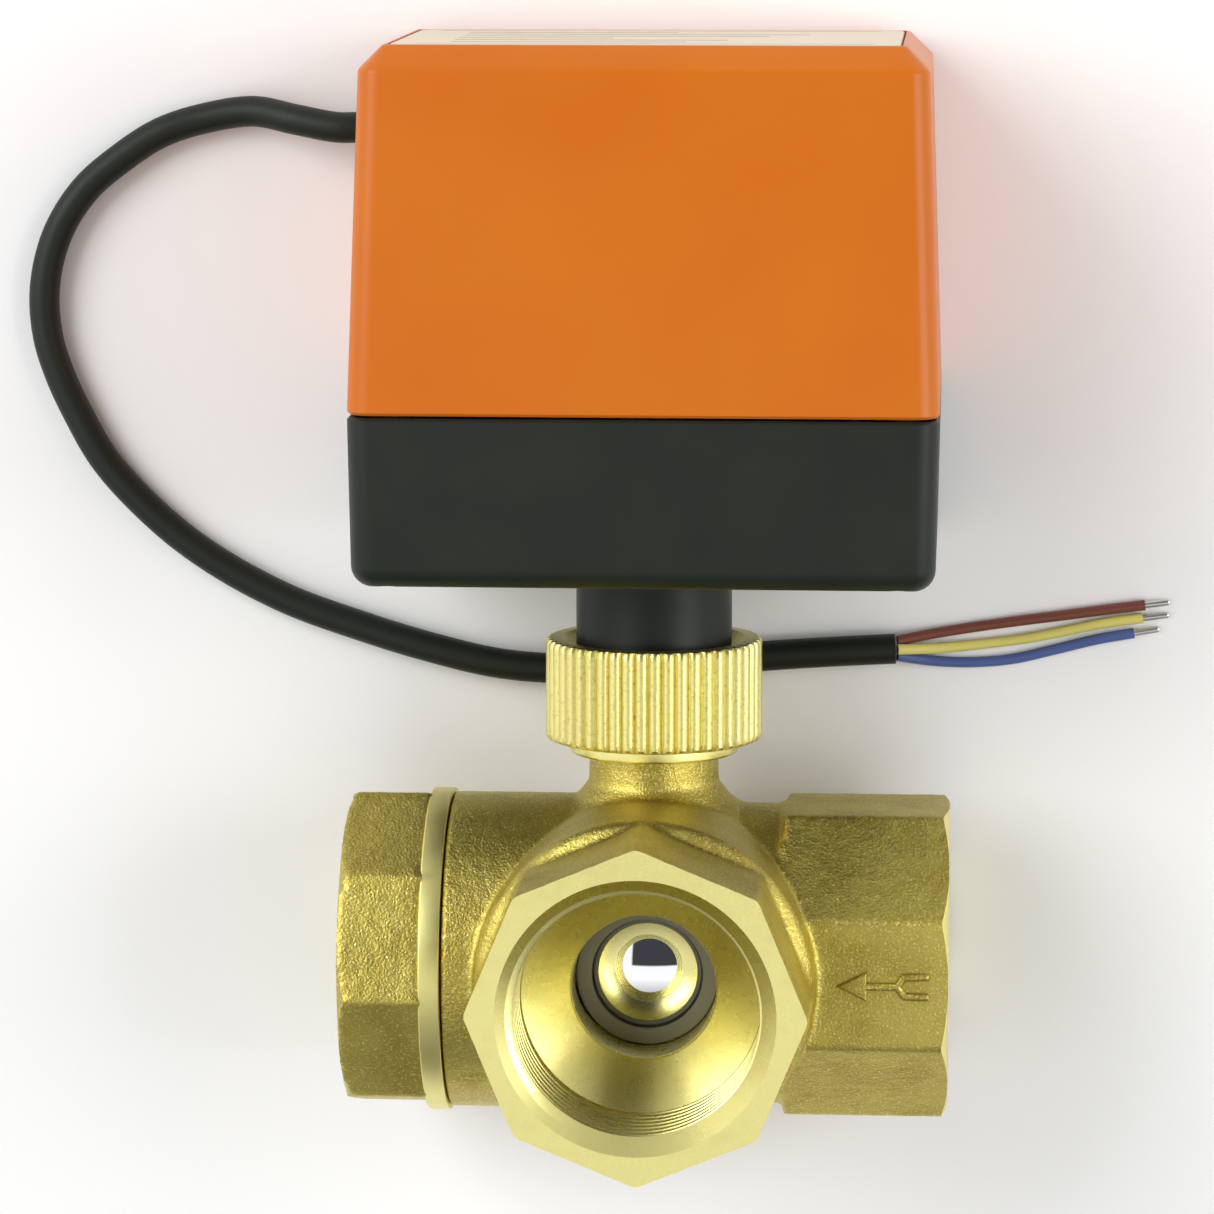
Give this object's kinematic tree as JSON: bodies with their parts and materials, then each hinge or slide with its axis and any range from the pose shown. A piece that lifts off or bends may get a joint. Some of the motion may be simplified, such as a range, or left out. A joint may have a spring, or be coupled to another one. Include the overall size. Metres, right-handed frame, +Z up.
{
  "type": "motorized valve actuator",
  "caption": "Motorised three-way brass ball valve: geared electric actuator in an orange and black housing, held on the valve bonnet by a knurled union nut, with a lead.",
  "frame": {"origin": "on the bench, under the middle of the object without its cable", "axes": "+X along the pipe run towards the inlet port, +Y along the stem towards the actuator, +Z up along the branch port"},
  "size_m": [0.1496, 0.1388, 0.0615],
  "materials": {
    "cast_brass": "rough sand-cast brass, machined on the port faces",
    "nut_brass": "fine-grained cast brass, knurled",
    "turned_brass": "turned",
    "chrome": "mirror chrome plate",
    "steel": "zinc plated",
    "bronze": "sintered bronze",
    "ptfe": "grey filled PTFE",
    "rubber": "smooth black",
    "orange_plastic": "satin moulded ABS",
    "black_plastic": "fine-textured black nylon",
    "white_acetal": "natural acetal",
    "label_foil": "satin printed foil, left blank",
    "green_board": "solder mask",
    "dark_plastic": "moulded",
    "blue_plastic": "moulded",
    "brown_pvc": "core insulation",
    "yellow_pvc": "core insulation",
    "blue_pvc": "core insulation"
  },
  "bodies": {
    "valve": {"valve_body": "cast_brass", "end_cap": "cast_brass", "end_cap_gasket": "ptfe", "branch_seat": "ptfe", "inlet_seat": "ptfe", "outlet_seat": "ptfe", "rear_seat": "ptfe", "stem_thrust_washer": "ptfe"},
    "ball_and_stem": {"ball": "chrome", "stem": "turned_brass", "stem_o_ring_lower": "rubber", "stem_o_ring_upper": "rubber"},
    "actuator": {"cover": "orange_plastic", "label_plate": "label_foil", "base_housing": "black_plastic", "housing_gasket": "rubber", "mounting_neck": "black_plastic", "cover_screw_1": "steel", "cover_screw_2": "steel", "cover_screw_3": "steel", "cover_screw_4": "steel", "gear_plate": "steel", "neck_bushing": "bronze", "idler_axle": "steel", "open_limit_switch": "dark_plastic", "closed_limit_switch": "dark_plastic", "motor": "steel", "motor_bracket": "steel", "motor_screw_1": "steel", "motor_screw_2": "steel", "circuit_board": "green_board", "board_post_1": "steel", "board_post_2": "steel", "board_post_3": "steel", "board_post_4": "steel", "terminal_block": "green_board", "relay": "blue_plastic", "capacitor": "dark_plastic", "cable_gland": "rubber", "inner_lead": "rubber", "supply_cable": "rubber", "core_brown": "brown_pvc", "core_yellow": "yellow_pvc", "core_blue": "blue_pvc"},
    "output_drive": {"drive_shaft": "steel", "shaft_snap_ring": "steel", "limit_cam": "white_acetal", "output_gear": "white_acetal"},
    "idler": {"idler_gear": "white_acetal"},
    "motor_rotor": {"motor_shaft": "steel", "motor_pinion": "steel"},
    "nut_carrier": {"nut_thrust_washer": "ptfe"},
    "nut": {"union_nut": "nut_brass"}
  },
  "joints": [
    {"name": "ball_turn", "type": "hinge", "parent": "valve", "child": "ball_and_stem", "pos_m": [0.0005, 0, 0.0215], "axis": [0, -1, 0], "range_deg": [0, 90]},
    {"name": "actuator_lift", "type": "slide", "parent": "valve", "child": "actuator", "axis": [0, 1, 0], "range_m": [0, 0.025]},
    {"name": "output_turn", "type": "hinge", "parent": "actuator", "child": "output_drive", "pos_m": [0.0005, 0, 0.0215], "axis": [0, -1, 0], "range_deg": [0, 90]},
    {"name": "idler_turn", "type": "hinge", "parent": "actuator", "child": "idler", "pos_m": [0.01851, 0, 0.0319], "axis": [0, -1, 0], "range_deg": [-300, 0]},
    {"name": "motor_turn", "type": "hinge", "parent": "actuator", "child": "motor_rotor", "pos_m": [0.00098, 0, 0.03037], "axis": [0, -1, 0], "range_deg": [0, 800]},
    {"name": "nut_rise", "type": "slide", "parent": "actuator", "child": "nut_carrier", "axis": [0, 1, 0], "range_m": [0, 0.0045]},
    {"name": "nut_turn", "type": "hinge", "parent": "nut_carrier", "child": "nut", "pos_m": [0.0005, 0, 0.0215], "axis": [0, 1, 0], "range_deg": [0, 1080]}
  ],
  "couplings": [
    {"joint": "output_turn", "follows": "ball_turn", "ratio": 1},
    {"joint": "idler_turn", "follows": "ball_turn", "ratio": -3.3333},
    {"joint": "motor_turn", "follows": "ball_turn", "ratio": 8.8888},
    {"joint": "nut_rise", "follows": "nut_turn", "m_per_rad": 0.00023873}
  ]
}
